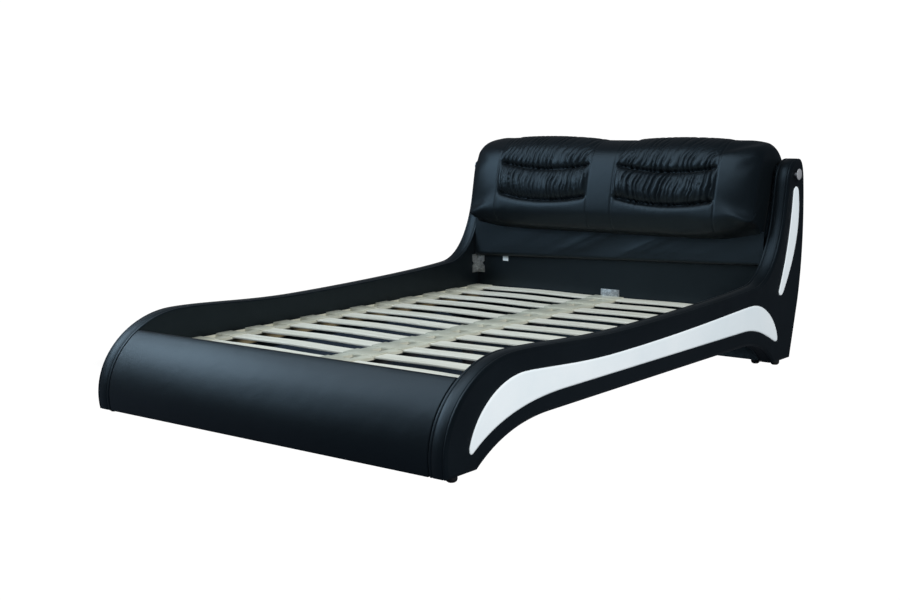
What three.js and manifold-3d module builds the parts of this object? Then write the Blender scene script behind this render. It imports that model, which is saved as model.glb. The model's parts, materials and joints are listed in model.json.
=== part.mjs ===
// Upholstered sleigh bed with a slatted base, for a mattress of about 1.5 x 2.0 m.
//
// Millimetres, +Z up. The origin is on the floor, under the middle of the bed. +Y points to the
// head end and +X to the right-hand side as seen from the foot end.
//
// Side view outlines are drawn in (y, z). Points of the foot end are given by their distance from
// the foot-most face, and points of the head end by their distance from the head-most face, so the
// straight stretch between them takes up any change of length.

import * as THREE from 'three';
import { mergeVertices } from 'three/addons/utils/BufferGeometryUtils.js';
import Module from 'manifold-3d';

const wasm = await Module();
wasm.setup();

// ---- driving dimensions -------------------------------------------------------------------

const WIDTH = 1700; // over the two side panels
const LENGTH = 2506; // foot-most face to head-most face
const PANEL_THICKNESS = 70; // upholstered side panel
const GLIDE_HEIGHT = 18; // clear space under panels, footboard and headboard
const GLIDE_RADIUS = 19;
const FIT_GAP = 0.3; // between pieces that touch

const ARCH_TOP = 130; // underside of the side panel between its legs
const LEG_LENGTH_FOOT = 160; // floor contact of the panel at the foot end
const LEG_FRONT_HEAD = 279; // front of the head leg, from the head-most face
const LEG_REAR_HEAD = 114; // back of the head leg, from the head-most face

const ROLL_RADIUS_Y = 370; // the foot end is a quarter ellipse
const ROLL_RADIUS_Z = 292;
const ROLL_CENTRE_Z = 70;
const FOOTBOARD_THICKNESS = 45;
const FOOTBOARD_TOP = 307;

const HEADBOARD_TOP = 852; // top of the board inside the pad
const HEADBOARD_THICKNESS = 40;
const HEADBOARD_FRONT = 230; // front of the board above the slats, from the head-most face
const HEADBOARD_FRONT_FLOOR = 255; // the same at its lower edge
const BOARD_LEAN_START = 505; // height where the board begins to lean back
const BOARD_LEAN = 110; // how far its top is behind its upright part
const BOARD_TOE_TOP = 160; // below this the board comes forward again, to its lower edge
const BACK_PANEL_THICKNESS = 10;
const BACK_PANEL_INSET = 14; // behind the rear edge of the side panels

const PAD_CLEARANCE = 4; // between the pad and each side panel
const PAD_SEAT_LOW = { head: 322, z: 640 }; // flat front of the pad that the headrests lie on
const PAD_SEAT_HIGH = { head: 245, z: 925 };
const HEADREST_THICKNESS = 22;
const HEADREST_INNER = 66; // from the middle of the bed
const HEADREST_OUTER = 586;

const INLAY_THICKNESS = 9;
const INLAY_POCKET = 6; // depth that it is let into the side panel
const INLAY_GAP = 0.6;

const SLAT_WIDTH = 75;
const SLAT_THICKNESS = 8;
const SLAT_TOP = 232; // upper face at the slat ends
const SLAT_BOW = 3; // rise in the middle of a slat
const SLAT_END_FLAT = 60;
const SLAT_PITCH = 164; // wanted spacing, rounded to whole rows in each half of the base
const HEAD_SLAT_GAP = 9; // first slat to the headboard
const HALF_BASE_LENGTH = 932; // first slat to the line where the two halves of the base meet
const HALVES_GAP = 154; // slat to slat across that line
const LAST_SLAT = 261; // last slat, from the foot-most face

const HOLDER_WALL = 3; // plastic over, under and beside a slat end
const HOLDER_FLOOR = 4;
const CAP_ROUND = 3; // rounded upper edges of the caps over the slat ends
const HOLDER_PLATE = 11; // thickness of the strip between two slats
const HOLDER_GRIP = 42; // how far a slat end goes in
const SLAT_CLEARANCE = 0.5;
const WINDOW_X = 46;
const WINDOW_Y = 66;
const WINDOW_EDGE = 4; // strip left round a window, beside the panel and the caps

const LEDGER_WIDTH = 38;
const LEDGER_HEIGHT = 45;
const BEAM_WIDTH = 50;
const BEAM_HEIGHT = 40;
const BEAM_WALL = 3;
const CENTRE_LEG_RADIUS = 24;
const CENTRE_LEG_BORE = 9;
const ADJUSTER_RADIUS = 28;
const ADJUSTER_HEIGHT = 14;
const ADJUSTER_STEM_RADIUS = 8;
const ADJUSTER_STEM = 40;
const ADJUSTER_TRAVEL = 12;

const BRACKET_SHEET = 3;
const BRACKET_HEIGHT = 90;
const BRACKET_LEAF = 44;
const BRACKET_NOTCH = 12;
const BRACKET_HEAD_Z = 296;
const BRACKET_FOOT_Z = 60;
const BEAM_BRACKET_WIDTH = 100;
const BEAM_BRACKET_TOP = 266;
const BEAM_BRACKET_EAR = 30;

const KNOB_RADIUS = 25;
const KNOB_STANDOFF = 22;
const KNOB_STEM_RADIUS = 6;
const KNOB_FROM_HEAD = 104;
const KNOB_Z = 815;

const CAP_ROUND_STEPS = 3;
const BOW_STEPS = 9; // an odd number leaves a flat facet at the crown
const CURVE_STEPS = 12;
const ROUND_STEPS = 24;

// ---- places worked out from them ----------------------------------------------------------

const halfWidth = WIDTH / 2;
const insideHalf = halfWidth - PANEL_THICKNESS;
const footEnd = -LENGTH / 2;
const headEnd = LENGTH / 2;
const slatBottom = SLAT_TOP - SLAT_THICKNESS;
const holderBottom = slatBottom - HOLDER_FLOOR;
const supportTop = holderBottom - FIT_GAP;
const headboardFace = headEnd - HEADBOARD_FRONT;

const fromFoot = (distance) => footEnd + distance;
const fromHead = (distance) => headEnd - distance;

// ---- materials ----------------------------------------------------------------------------

function blackLeatherette() {
  return new THREE.MeshStandardMaterial({ color: '#16181b', roughness: 0.42, metalness: 0 });
}

function whiteLeatherette() {
  return new THREE.MeshStandardMaterial({ color: '#eef2f5', roughness: 0.45, metalness: 0 });
}

function birch() {
  return new THREE.MeshStandardMaterial({ color: '#e6d9bb', roughness: 0.55, metalness: 0 });
}

function softwood() {
  return new THREE.MeshStandardMaterial({ color: '#c9a878', roughness: 0.7, metalness: 0 });
}

function holderPlastic() {
  return new THREE.MeshStandardMaterial({ color: '#d9d2bf', roughness: 0.5, metalness: 0 });
}

function blackPlastic() {
  return new THREE.MeshStandardMaterial({ color: '#1a1a1a', roughness: 0.6, metalness: 0 });
}

function blackSteel() {
  return new THREE.MeshStandardMaterial({ color: '#202224', roughness: 0.5, metalness: 0.6 });
}

function zincSteel() {
  return new THREE.MeshStandardMaterial({ color: '#b8bcc0', roughness: 0.4, metalness: 0.9 });
}

function chrome() {
  return new THREE.MeshStandardMaterial({ color: '#d5d8db', roughness: 0.12, metalness: 1 });
}

function liningCloth() {
  return new THREE.MeshStandardMaterial({ color: '#1c1c1d', roughness: 0.9, metalness: 0 });
}

// ---- shared ways of making a solid --------------------------------------------------------

/** Outline in (y, z), extruded across the bed from x0 to x1. */
function extrudeAcross(outline, x0, x1, curveSteps = CURVE_STEPS) {
  const geometry = new THREE.ExtrudeGeometry(outline, {
    depth: x1 - x0,
    bevelEnabled: false,
    curveSegments: curveSteps,
  });
  const turn = new THREE.Matrix4().makeBasis(
    new THREE.Vector3(0, 1, 0),
    new THREE.Vector3(0, 0, 1),
    new THREE.Vector3(1, 0, 0),
  );
  return geometry.applyMatrix4(turn).translate(x0, 0, 0);
}

/** Outline in (x, z), extruded along the bed from y0 to y1. */
function extrudeAlong(outline, y0, y1) {
  const geometry = new THREE.ExtrudeGeometry(outline, {
    depth: y1 - y0,
    bevelEnabled: false,
    curveSegments: CURVE_STEPS,
  });
  const turn = new THREE.Matrix4().makeBasis(
    new THREE.Vector3(1, 0, 0),
    new THREE.Vector3(0, 0, 1),
    new THREE.Vector3(0, -1, 0),
  );
  return geometry.applyMatrix4(turn).translate(0, y1, 0);
}

/** Box between two corners. */
function block(x0, x1, y0, y1, z0, z1) {
  return new THREE.BoxGeometry(x1 - x0, y1 - y0, z1 - z0).translate(
    (x0 + x1) / 2,
    (y0 + y1) / 2,
    (z0 + z1) / 2,
  );
}

function polygon(points) {
  return new THREE.Shape(points.map(([a, b]) => new THREE.Vector2(a, b)));
}

function toSolid(geometry) {
  const bare = geometry.clone();
  bare.deleteAttribute('normal');
  bare.deleteAttribute('uv');
  const merged = mergeVertices(bare, 1e-3);
  const mesh = new wasm.Mesh({
    numProp: 3,
    vertProperties: new Float32Array(merged.attributes.position.array),
    triVerts: new Uint32Array(merged.index.array),
  });
  return new wasm.Manifold(mesh);
}

function toGeometry(solid) {
  const mesh = solid.getMesh();
  const geometry = new THREE.BufferGeometry();
  geometry.setAttribute('position', new THREE.BufferAttribute(mesh.vertProperties, 3));
  geometry.setIndex(new THREE.BufferAttribute(mesh.triVerts, 1));
  geometry.computeVertexNormals();
  return geometry;
}

function joined(geometries) {
  return geometries.map(toSolid).reduce((whole, piece) => whole.add(piece));
}

function cut(solid, geometries) {
  return geometries.map(toSolid).reduce((whole, tool) => whole.subtract(tool), solid);
}

/** Mirrored copy on the other side of the bed, with its faces turned out again. */
function mirrored(geometry) {
  const copy = geometry.index ? geometry.toNonIndexed() : geometry.clone();
  const position = copy.attributes.position;
  for (let i = 0; i < position.count; i += 3) {
    const a = [-position.getX(i), position.getY(i), position.getZ(i)];
    const b = [-position.getX(i + 1), position.getY(i + 1), position.getZ(i + 1)];
    const c = [-position.getX(i + 2), position.getY(i + 2), position.getZ(i + 2)];
    position.setXYZ(i, ...a);
    position.setXYZ(i + 1, ...c);
    position.setXYZ(i + 2, ...b);
  }
  copy.computeVertexNormals();
  return copy;
}

const bed = new THREE.Group();

function add(name, geometry, material) {
  const mesh = new THREE.Mesh(geometry, material);
  mesh.name = name;
  bed.add(mesh);
}

/** The right-hand piece as made, and its mirror image on the left. */
function addPair(name, geometry, material) {
  add(`${name}_right`, geometry, material());
  add(`${name}_left`, mirrored(geometry), material());
}

// ---- side panels --------------------------------------------------------------------------

/** Angle on the foot ellipse of a point at the given height, on its foot side. */
function rollAngle(z, inset = 0) {
  return Math.PI - Math.asin((z - ROLL_CENTRE_Z) / (ROLL_RADIUS_Z - inset));
}

/** Sleigh outline: rolled foot end, shallow dip along the mattress, and a raised wing. */
function sidePanelOutline() {
  const f = fromFoot;
  const h = fromHead;
  const outline = new THREE.Shape();
  outline.moveTo(f(LEG_LENGTH_FOOT), GLIDE_HEIGHT);
  outline.absellipse(
    f(ROLL_RADIUS_Y), ROLL_CENTRE_Z, ROLL_RADIUS_Y, ROLL_RADIUS_Z,
    rollAngle(GLIDE_HEIGHT), Math.PI / 2, true,
  );
  outline.bezierCurveTo(f(560), 362, f(760), 335, f(1040), 335);
  outline.bezierCurveTo(f(1350), 335, h(640), 346, h(438), 365);
  outline.bezierCurveTo(h(300), 378, h(220), 520, h(189), 666);
  outline.lineTo(h(165), 785);
  outline.bezierCurveTo(h(150), 855, h(110), 880, h(58), 880);
  outline.bezierCurveTo(h(22), 880, h(8), 830, h(6), 774);
  outline.bezierCurveTo(h(-9), 600, h(5), 400, h(45), 251);
  outline.lineTo(h(LEG_REAR_HEAD), GLIDE_HEIGHT);
  outline.lineTo(h(LEG_FRONT_HEAD), GLIDE_HEIGHT);
  outline.bezierCurveTo(h(330), 85, h(430), ARCH_TOP, h(560), ARCH_TOP);
  outline.lineTo(f(560), ARCH_TOP);
  outline.bezierCurveTo(f(390), ARCH_TOP, f(260), 90, f(LEG_LENGTH_FOOT), GLIDE_HEIGHT);
  return outline;
}

/** Long white inlay: a comma at the foot end, a straight band, and a hook at the head end. */
function longInlayOutline() {
  const f = fromFoot;
  const h = fromHead;
  const outline = new THREE.Shape();
  outline.moveTo(f(640), 193);
  outline.lineTo(h(560), 193);
  outline.bezierCurveTo(h(455), 193, h(380), 163, h(282), 116);
  outline.bezierCurveTo(h(262), 106, h(244), 108, h(247), 125);
  outline.bezierCurveTo(h(258), 190, h(350), 292, h(490), 292);
  outline.bezierCurveTo(h(606), 292, f(1500), 262, f(950), 262);
  outline.bezierCurveTo(f(720), 262, f(500), 289, f(411), 289);
  outline.bezierCurveTo(f(270), 289, f(150), 200, f(118), 95);
  outline.bezierCurveTo(f(114), 78, f(124), 68, f(135), 75);
  outline.bezierCurveTo(f(240), 145, f(400), 193, f(640), 193);
  return outline;
}

/** Slim white blade up the back of the wing. */
function bladeInlayOutline() {
  const h = fromHead;
  const outline = new THREE.Shape();
  outline.moveTo(h(66), 740);
  outline.bezierCurveTo(h(74), 770, h(108), 768, h(116), 742);
  outline.bezierCurveTo(h(150), 500, h(200), 410, h(240), 322);
  outline.bezierCurveTo(h(236), 300, h(214), 298, h(200), 314);
  outline.bezierCurveTo(h(70), 480, h(45), 620, h(66), 740);
  return outline;
}

/** The same outline drawn larger all round by the given amount. */
function grown(outline, amount) {
  const points = outline.getPoints(CURVE_STEPS);
  if (THREE.ShapeUtils.isClockWise(points)) points.reverse();
  if (points[0].distanceTo(points.at(-1)) < 1e-6) points.pop();
  const wider = points.map((point, i) => {
    const before = points.at(i - 1);
    const after = points[(i + 1) % points.length];
    const along = after.clone().sub(before).normalize();
    return new THREE.Vector2(point.x + along.y * amount, point.y - along.x * amount);
  });
  return new THREE.Shape(wider);
}

function sidePanel() {
  const board = toSolid(extrudeAcross(sidePanelOutline(), insideHalf, halfWidth));
  const pocketFloor = halfWidth - INLAY_POCKET - FIT_GAP;
  const pockets = [longInlayOutline(), bladeInlayOutline()].map((outline) =>
    extrudeAcross(grown(outline, INLAY_GAP), pocketFloor, halfWidth + 1),
  );
  return toGeometry(cut(board, pockets));
}

function inlay(outline) {
  const back = halfWidth - INLAY_POCKET;
  return extrudeAcross(outline, back, back + INLAY_THICKNESS);
}

addPair('side_panel', sidePanel(), blackLeatherette);
addPair('long_inlay', inlay(longInlayOutline()), whiteLeatherette);
addPair('blade_inlay', inlay(bladeInlayOutline()), whiteLeatherette);

// ---- footboard ----------------------------------------------------------------------------

/** Bent shell, flush with the rolled ends of the side panels. */
function footboard() {
  const centre = fromFoot(ROLL_RADIUS_Y);
  const top = rollAngle(FOOTBOARD_TOP);
  const innerY = ROLL_RADIUS_Y - FOOTBOARD_THICKNESS;
  const innerZ = ROLL_RADIUS_Z - FOOTBOARD_THICKNESS;
  const innerFoot = rollAngle(GLIDE_HEIGHT, FOOTBOARD_THICKNESS);
  const outline = new THREE.Shape();
  outline.absellipse(
    centre, ROLL_CENTRE_Z, ROLL_RADIUS_Y, ROLL_RADIUS_Z, rollAngle(GLIDE_HEIGHT), top, true,
  );
  outline.absellipse(centre, ROLL_CENTRE_Z, innerY, innerZ, top, innerFoot, false);
  return extrudeAcross(outline, -insideHalf + FIT_GAP, insideHalf - FIT_GAP);
}

add('footboard', footboard(), blackLeatherette());

// ---- headboard ----------------------------------------------------------------------------

/** Bent board: upright behind the mattress, leaning back behind the pad. */
function headboardFrame() {
  const h = fromHead;
  const front = HEADBOARD_FRONT;
  const back = HEADBOARD_FRONT - HEADBOARD_THICKNESS;
  const outline = polygon([
    [h(HEADBOARD_FRONT_FLOOR), GLIDE_HEIGHT],
    [h(front), BOARD_TOE_TOP],
    [h(front), BOARD_LEAN_START],
    [h(front - BOARD_LEAN), HEADBOARD_TOP],
    [h(back - BOARD_LEAN), HEADBOARD_TOP],
    [h(back), BOARD_LEAN_START],
    [h(back), BOARD_TOE_TOP],
    [h(HEADBOARD_FRONT_FLOOR - HEADBOARD_THICKNESS), GLIDE_HEIGHT],
  ]);
  return extrudeAcross(outline, -insideHalf + FIT_GAP, insideHalf - FIT_GAP);
}

/** Thin curved sheet that closes the back between the side panels. */
function headboardBack() {
  const h = (distance) => fromHead(distance + BACK_PANEL_INSET);
  const t = BACK_PANEL_THICKNESS;
  const foot = GLIDE_HEIGHT + GLIDE_HEIGHT;
  const outline = new THREE.Shape();
  outline.moveTo(h(108), foot);
  outline.lineTo(h(45), 251);
  outline.bezierCurveTo(h(5), 400, h(-9), 600, h(6), 774);
  outline.lineTo(h(10), HEADBOARD_TOP);
  outline.lineTo(h(10 + t), HEADBOARD_TOP);
  outline.lineTo(h(6 + t), 774);
  outline.bezierCurveTo(h(-9 + t), 600, h(5 + t), 400, h(45 + t), 251);
  outline.lineTo(h(108 + t), foot);
  return extrudeAcross(outline, -insideHalf + FIT_GAP, insideHalf - FIT_GAP);
}

/** Thick foam pad over the upper half of the board, rolled over its top. */
function headboardPad() {
  const h = fromHead;
  const boardTop = HEADBOARD_FRONT - BOARD_LEAN;
  const gap = 1;
  const outline = new THREE.Shape();
  outline.moveTo(h(HEADBOARD_FRONT + gap), BOARD_LEAN_START + 15);
  outline.bezierCurveTo(h(300), 505, h(345), 535, h(336), 575);
  outline.lineTo(h(PAD_SEAT_LOW.head), PAD_SEAT_LOW.z);
  outline.lineTo(h(PAD_SEAT_HIGH.head), PAD_SEAT_HIGH.z);
  outline.bezierCurveTo(h(220), 962, h(160), 974, h(115), 969);
  outline.bezierCurveTo(h(60), 962, h(38), 920, h(34), HEADBOARD_TOP + 16);
  outline.lineTo(h(34), HEADBOARD_TOP + gap);
  outline.lineTo(h(boardTop + gap), HEADBOARD_TOP + gap);
  const side = insideHalf - PAD_CLEARANCE;
  return extrudeAcross(outline, -side, side);
}

/** Flat soft cushion on the sloping front of the pad. */
function headrest() {
  const low = new THREE.Vector2(fromHead(PAD_SEAT_LOW.head), PAD_SEAT_LOW.z);
  const high = new THREE.Vector2(fromHead(PAD_SEAT_HIGH.head), PAD_SEAT_HIGH.z);
  const along = high.clone().sub(low).normalize();
  const out = new THREE.Vector2(-along.y, along.x);
  const at = (run, rise) => low.clone().addScaledVector(along, run).addScaledVector(out, rise);
  const length = high.distanceTo(low);
  const edge = HEADREST_THICKNESS / 2;
  const outline = new THREE.Shape([
    at(edge, 1),
    at(edge, edge),
    at(2 * edge, HEADREST_THICKNESS),
    at(length - 2 * edge, HEADREST_THICKNESS),
    at(length - edge, edge),
    at(length - edge, 1),
  ]);
  return extrudeAcross(outline, HEADREST_INNER, HEADREST_OUTER);
}

add('headboard_frame', headboardFrame(), blackLeatherette());
add('headboard_back', headboardBack(), liningCloth());
add('headboard_pad', headboardPad(), blackLeatherette());
addPair('headrest', headrest(), blackLeatherette);

// ---- slats --------------------------------------------------------------------------------

/** Middle of every slat row, from the head end to the foot end. */
function slatRows() {
  const first = headboardFace - HEAD_SLAT_GAP - SLAT_WIDTH / 2;
  const meeting = first - HALF_BASE_LENGTH;
  const last = fromFoot(LAST_SLAT);
  const half = (from, to) => {
    const steps = Math.max(1, Math.round((from - to) / SLAT_PITCH));
    return Array.from({ length: steps + 1 }, (_, i) => from - (i * (from - to)) / steps);
  };
  return [
    ...half(first, meeting + HALVES_GAP / 2),
    ...half(meeting - HALVES_GAP / 2, last),
  ];
}

const rows = slatRows();
const slatInner = WINDOW_X / 2 + HOLDER_WALL + 8;
const slatOuter = insideHalf - FIT_GAP - WINDOW_EDGE - WINDOW_X - HOLDER_WALL;

/** Springy slat of one side, flat where it is held and bowed up in between. */
function slat(y) {
  const arched = slatOuter - slatInner - 2 * SLAT_END_FLAT;
  const along = Array.from({ length: BOW_STEPS + 1 }, (_, i) => i / BOW_STEPS);
  const points = (base) => [
    [slatInner, base],
    ...along.map((t) => [
      slatInner + SLAT_END_FLAT + t * arched,
      base + (SLAT_BOW * (1 - Math.cos(2 * Math.PI * t))) / 2,
    ]),
    [slatOuter, base],
  ];
  const outline = polygon([...points(slatBottom), ...points(SLAT_TOP).reverse()]);
  return extrudeAlong(outline, y - SLAT_WIDTH / 2, y + SLAT_WIDTH / 2);
}

rows.forEach((y, i) => {
  addPair(`slat_${String(i + 1).padStart(2, '0')}`, slat(y), birch);
});

// ---- slat holders -------------------------------------------------------------------------

/** Rounded cap over the slat ends of one row, between x0 and x1. */
function holderCap(y, x0, x1) {
  const half = SLAT_WIDTH / 2 + HOLDER_WALL + SLAT_CLEARANCE;
  const top = SLAT_TOP + SLAT_CLEARANCE + HOLDER_WALL;
  const outline = new THREE.Shape();
  outline.moveTo(y - half, holderBottom);
  outline.lineTo(y + half, holderBottom);
  outline.lineTo(y + half, top - CAP_ROUND);
  outline.quadraticCurveTo(y + half, top, y + half - CAP_ROUND, top);
  outline.lineTo(y - half + CAP_ROUND, top);
  outline.quadraticCurveTo(y - half, top, y - half, top - CAP_ROUND);
  return extrudeAcross(outline, x0, x1, CAP_ROUND_STEPS);
}

/** Space that a slat end takes inside its cap. */
function slatPocket(y, x0, x1) {
  const half = SLAT_WIDTH / 2 + SLAT_CLEARANCE;
  const bottom = slatBottom - SLAT_CLEARANCE;
  return block(x0, x1, y - half, y + half, bottom, SLAT_TOP + SLAT_CLEARANCE);
}

/** One moulded strip: a plate, a cap on each row, and a window between each two rows. */
function slatHolder(x0, x1, pockets, windowX) {
  const end = SLAT_WIDTH / 2 + HOLDER_WALL + SLAT_CLEARANCE;
  const plateTop = holderBottom + HOLDER_PLATE;
  const plate = block(x0, x1, rows.at(-1) - end, rows[0] + end, holderBottom, plateTop);
  const caps = rows.map((y) => holderCap(y, x0, x1));
  const ends = rows.flatMap((y) => pockets.map(([a, b]) => slatPocket(y, a, b)));
  const windows = rows.slice(1).map((y, i) => {
    const middle = (y + rows[i]) / 2;
    const halfY = Math.min(WINDOW_Y, rows[i] - y - 2 * (end + WINDOW_EDGE)) / 2;
    const low = holderBottom - 1;
    return block(
      windowX - WINDOW_X / 2, windowX + WINDOW_X / 2, middle - halfY, middle + halfY, low, SLAT_TOP,
    );
  });
  return toGeometry(cut(joined([plate, ...caps]), [...ends, ...windows]));
}

const holderMouth = slatInner + HOLDER_GRIP;
const sideHolderOuter = insideHalf - FIT_GAP;
const sideHolderInner = slatOuter - HOLDER_GRIP;
const sideWindow = sideHolderOuter - WINDOW_EDGE - WINDOW_X / 2;
const pocketEnd = SLAT_CLEARANCE;

add(
  'slat_holder_centre',
  slatHolder(
    -holderMouth, holderMouth,
    [[-holderMouth - 1, -slatInner + pocketEnd], [slatInner - pocketEnd, holderMouth + 1]], 0,
  ),
  holderPlastic(),
);
addPair(
  'slat_holder',
  slatHolder(
    sideHolderInner, sideHolderOuter, [[sideHolderInner - 1, slatOuter + pocketEnd]], sideWindow,
  ),
  holderPlastic,
);

// ---- what carries the slats ---------------------------------------------------------------

/** Inner face of the footboard shell at a given height, with a gap to clear it. */
function footboardInside(z) {
  const rise = (z - ROLL_CENTRE_Z) / (ROLL_RADIUS_Z - FOOTBOARD_THICKNESS);
  const reach = (ROLL_RADIUS_Y - FOOTBOARD_THICKNESS) * Math.sqrt(1 - rise * rise);
  return fromFoot(ROLL_RADIUS_Y - reach + 2);
}

const baseFoot = footboardInside(supportTop);
const baseHead = headboardFace - FIT_GAP;

/** Batten screwed to the inside of a side panel. */
function ledger() {
  const outer = insideHalf - FIT_GAP;
  return block(
    outer - LEDGER_WIDTH, outer, baseFoot, baseHead, supportTop - LEDGER_HEIGHT, supportTop,
  );
}

/** Box-section beam down the middle, open at both ends. */
function centreBeam() {
  const w = BEAM_WIDTH / 2;
  const bottom = supportTop - BEAM_HEIGHT;
  const outline = polygon([[-w, bottom], [w, bottom], [w, supportTop], [-w, supportTop]]);
  const hollow = w - BEAM_WALL;
  outline.holes.push(
    polygon([
      [-hollow, bottom + BEAM_WALL],
      [-hollow, supportTop - BEAM_WALL],
      [hollow, supportTop - BEAM_WALL],
      [hollow, bottom + BEAM_WALL],
    ]),
  );
  return extrudeAlong(outline, baseFoot + BRACKET_SHEET, baseHead - BRACKET_SHEET - FIT_GAP);
}

/** Solid turned about Z from a closed profile of [radius, height] points. */
function turned(profile, x, y) {
  const points = profile.map(([radius, z]) => new THREE.Vector2(radius, z));
  const geometry = new THREE.LatheGeometry(points, ROUND_STEPS);
  return geometry.rotateX(Math.PI / 2).translate(x, y, 0);
}

const beamBottom = supportTop - BEAM_HEIGHT;
const legY = (baseFoot + baseHead) / 2;

/** Round leg under the middle of the beam, bored from below for its levelling foot. */
function centreLeg() {
  const top = beamBottom - FIT_GAP;
  const bottom = ADJUSTER_HEIGHT + ADJUSTER_TRAVEL + 1;
  const boreTop = ADJUSTER_STEM + ADJUSTER_TRAVEL + 2;
  return turned(
    [
      [0, boreTop],
      [CENTRE_LEG_BORE, boreTop],
      [CENTRE_LEG_BORE, bottom],
      [CENTRE_LEG_RADIUS, bottom],
      [CENTRE_LEG_RADIUS, top],
      [0, top],
    ],
    0,
    legY,
  );
}

/** Levelling foot: a disc on a screw stem. */
function centreAdjuster() {
  return turned(
    [
      [0, 0],
      [ADJUSTER_RADIUS - 3, 0],
      [ADJUSTER_RADIUS, 3],
      [ADJUSTER_RADIUS, ADJUSTER_HEIGHT - 4],
      [ADJUSTER_STEM_RADIUS + 4, ADJUSTER_HEIGHT],
      [ADJUSTER_STEM_RADIUS, ADJUSTER_HEIGHT],
      [ADJUSTER_STEM_RADIUS, ADJUSTER_STEM],
      [0, ADJUSTER_STEM],
    ],
    0,
    legY,
  );
}

addPair('ledger', ledger(), softwood);
add('centre_beam', centreBeam(), blackSteel());
add('centre_leg', centreLeg(), blackSteel());
add('centre_leg_foot', centreAdjuster(), blackPlastic());

// ---- brackets -----------------------------------------------------------------------------

/** Bracket leaf with a notched, butterfly-like edge, in (run, z). */
function leafOutline(run, z0) {
  const z1 = z0 + BRACKET_HEIGHT;
  const middle = (z0 + z1) / 2;
  const side = Math.sign(run);
  return polygon([
    [0, z0],
    [run, z0],
    [run, middle - BRACKET_NOTCH],
    [run - side * BRACKET_NOTCH, middle],
    [run, middle + BRACKET_NOTCH],
    [run, z1],
    [0, z1],
  ]);
}

/** Angle bracket in a corner of the bed: one leaf on the panel and one on the board. */
function cornerBracket(boardFace, towards, z0) {
  const outer = insideHalf - FIT_GAP;
  const onPanel = extrudeAcross(leafOutline(towards * BRACKET_LEAF, z0), 0, BRACKET_SHEET);
  onPanel.translate(outer - BRACKET_SHEET, boardFace, 0);
  const sheetFrom = towards > 0 ? 0 : -BRACKET_SHEET;
  const onBoard = extrudeAlong(leafOutline(-BRACKET_LEAF, z0), sheetFrom, sheetFrom + BRACKET_SHEET);
  onBoard.translate(outer, boardFace, 0);
  return toGeometry(joined([onPanel, onBoard]));
}

/** Plate on a board with two ears that hold the beam between them. */
function beamBracket(boardFace, towards, top) {
  const plateFoot = Math.min(0, towards * BRACKET_SHEET);
  const plate = block(
    -BEAM_BRACKET_WIDTH / 2, BEAM_BRACKET_WIDTH / 2, plateFoot, plateFoot + BRACKET_SHEET,
    beamBottom, top,
  );
  const earFoot = Math.min(0, towards * BEAM_BRACKET_EAR);
  const inner = BEAM_WIDTH / 2 + FIT_GAP;
  const ear = (side) => {
    const a = side * inner;
    const b = side * (inner + BRACKET_SHEET);
    return block(
      Math.min(a, b), Math.max(a, b), earFoot, earFoot + BEAM_BRACKET_EAR, beamBottom,
      supportTop - 2,
    );
  };
  return toGeometry(joined([plate, ear(1), ear(-1)])).translate(0, boardFace, 0);
}

const footBracketFace = footboardInside(BRACKET_FOOT_Z + BRACKET_HEIGHT);
addPair('corner_bracket_head', cornerBracket(baseHead, -1, BRACKET_HEAD_Z), zincSteel);
addPair('corner_bracket_foot', cornerBracket(footBracketFace, 1, BRACKET_FOOT_Z), zincSteel);
add('beam_bracket_head', beamBracket(baseHead, -1, BEAM_BRACKET_TOP), zincSteel());
add('beam_bracket_foot', beamBracket(baseFoot - 1, 1, supportTop - 2), zincSteel());

// ---- glides and knobs ---------------------------------------------------------------------

/** Domed plastic glide nailed under an edge. */
function glide(x, y) {
  const top = GLIDE_HEIGHT - FIT_GAP;
  return turned(
    [
      [0, 0],
      [GLIDE_RADIUS - 7, 0],
      [GLIDE_RADIUS - 2, 4],
      [GLIDE_RADIUS, 10],
      [GLIDE_RADIUS, top],
      [0, top],
    ],
    x,
    y,
  );
}

/** Chrome knob on a short stem, standing off the outside of the wing. */
function knob() {
  const profile = [
    [0, 0],
    [KNOB_STEM_RADIUS + 3, 0],
    [KNOB_STEM_RADIUS + 3, 2],
    [KNOB_STEM_RADIUS, 4],
    [KNOB_STEM_RADIUS, KNOB_STANDOFF - 8],
    [KNOB_RADIUS - 3, KNOB_STANDOFF - 6],
    [KNOB_RADIUS, KNOB_STANDOFF - 4],
    [KNOB_RADIUS - 2, KNOB_STANDOFF - 1],
    [KNOB_RADIUS - 8, KNOB_STANDOFF],
    [0, KNOB_STANDOFF],
  ];
  const geometry = turned(profile, 0, 0).rotateY(Math.PI / 2);
  return geometry.translate(halfWidth + FIT_GAP, fromHead(KNOB_FROM_HEAD), KNOB_Z);
}

const glideOnPanel = halfWidth - GLIDE_RADIUS - 5;
const boardFoot = fromHead(HEADBOARD_FRONT_FLOOR - HEADBOARD_THICKNESS / 2);
addPair('glide_foot', glide(glideOnPanel, fromFoot(58)), blackPlastic);
addPair('glide_head', glide(glideOnPanel, fromHead(LEG_FRONT_HEAD - 65)), blackPlastic);
addPair('glide_headboard', glide(insideHalf - 35, boardFoot), blackPlastic);
addPair('wing_knob', knob(), chrome);

export default bed;
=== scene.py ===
import bpy
import json
import math
import numpy as np
from mathutils import Matrix, Vector

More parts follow.
